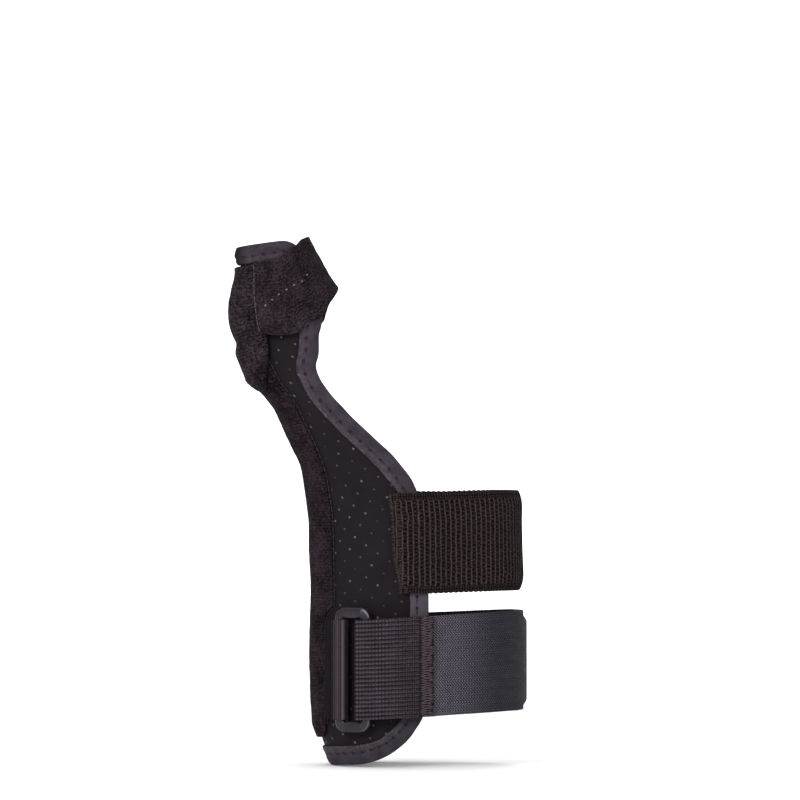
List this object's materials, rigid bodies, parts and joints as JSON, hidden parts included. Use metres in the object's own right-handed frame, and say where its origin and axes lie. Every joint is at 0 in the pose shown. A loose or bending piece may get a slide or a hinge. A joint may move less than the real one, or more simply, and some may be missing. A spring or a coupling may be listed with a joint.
{
  "type": "thumb spica splint",
  "caption": "Fabric thumb and wrist splint for a right hand, worn form: bound perforated shell, padded radial panel, thumb flap and strap, wrist and forearm straps.",
  "frame": {"origin": "centre of the wrist, at half the width of the elastic wrist strap", "axes": "+Z along the forearm towards the fingers, +X to the little finger's side, -Y to the back of the hand"},
  "size_m": [0.1135, 0.0651, 0.2014],
  "materials": {
    "laminate": "perforated black foam laminate",
    "binding": "smooth dark grey tape",
    "pile": "black loop pile",
    "elastic": "black ribbed elastic",
    "webbing": "black coarse woven webbing",
    "twill": "grey woven hook tape",
    "plastic": "black gloss"
  },
  "bodies": {
    "root": {"shell": "laminate", "edge_binding": "binding", "radial_panel": "pile", "thumb_flap": "pile", "thumb_strap": "pile", "wrist_strap": "elastic", "strap_ring": "plastic", "ring_tape": "webbing", "forearm_strap": "webbing", "hook_tab": "twill"}
  },
  "joints": []
}
